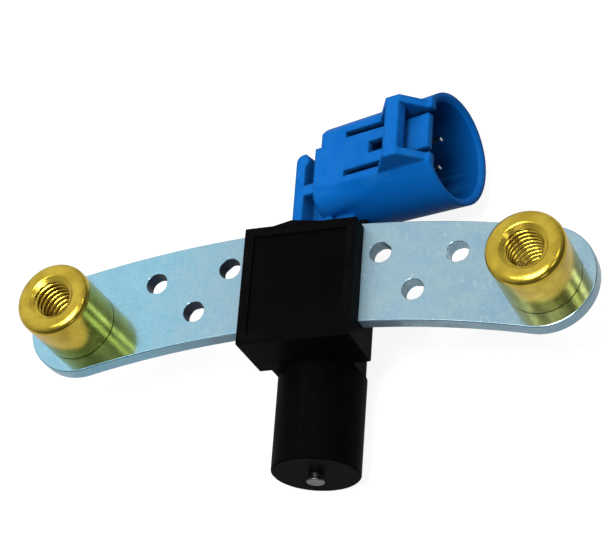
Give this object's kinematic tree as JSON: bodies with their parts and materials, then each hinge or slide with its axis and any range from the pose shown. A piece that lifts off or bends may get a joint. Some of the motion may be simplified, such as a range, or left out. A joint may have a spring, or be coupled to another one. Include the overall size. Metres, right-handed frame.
{
  "type": "crankshaft position sensor",
  "caption": "Inductive crankshaft position sensor: curved plated bracket with threaded brass bushes, black moulded body with a round nose, and an angled blue keyed socket.",
  "frame": {"origin": "midway between the axes of the two threaded bushes, on the plate's front face", "axes": "+X along the plate towards the socket's mouth, +Y from the nose towards the socket, +Z out of the plate's front face along the bushes"},
  "size_m": [0.1074, 0.0712, 0.0326],
  "materials": {
    "zinc_plate": "blue-white zinc plating, faintly mottled, half mirror",
    "brass": "turned and polished brass",
    "black_moulding": "satin black glass-filled moulding",
    "blue_moulding": "satin blue moulding",
    "tinned_terminal": "tinned brass",
    "pole_steel": "bright turned soft iron",
    "magnet_alloy": "ground magnet alloy",
    "bobbin_plastic": "natural moulded plastic",
    "copper_wire": "enamelled copper wire",
    "tape": "insulating tape",
    "solder": "soft solder"
  },
  "bodies": {
    "root": {"bracket_plate": "zinc_plate", "left_bush": "brass", "right_bush": "brass", "sensor_housing": "black_moulding", "connector_shell": "blue_moulding", "upper_terminal": "tinned_terminal", "lower_terminal": "tinned_terminal", "pole_piece": "pole_steel", "magnet": "magnet_alloy", "coil_bobbin": "bobbin_plastic", "coil_winding": "copper_wire", "winding_tape": "tape", "solder_joints": "solder"}
  },
  "joints": []
}
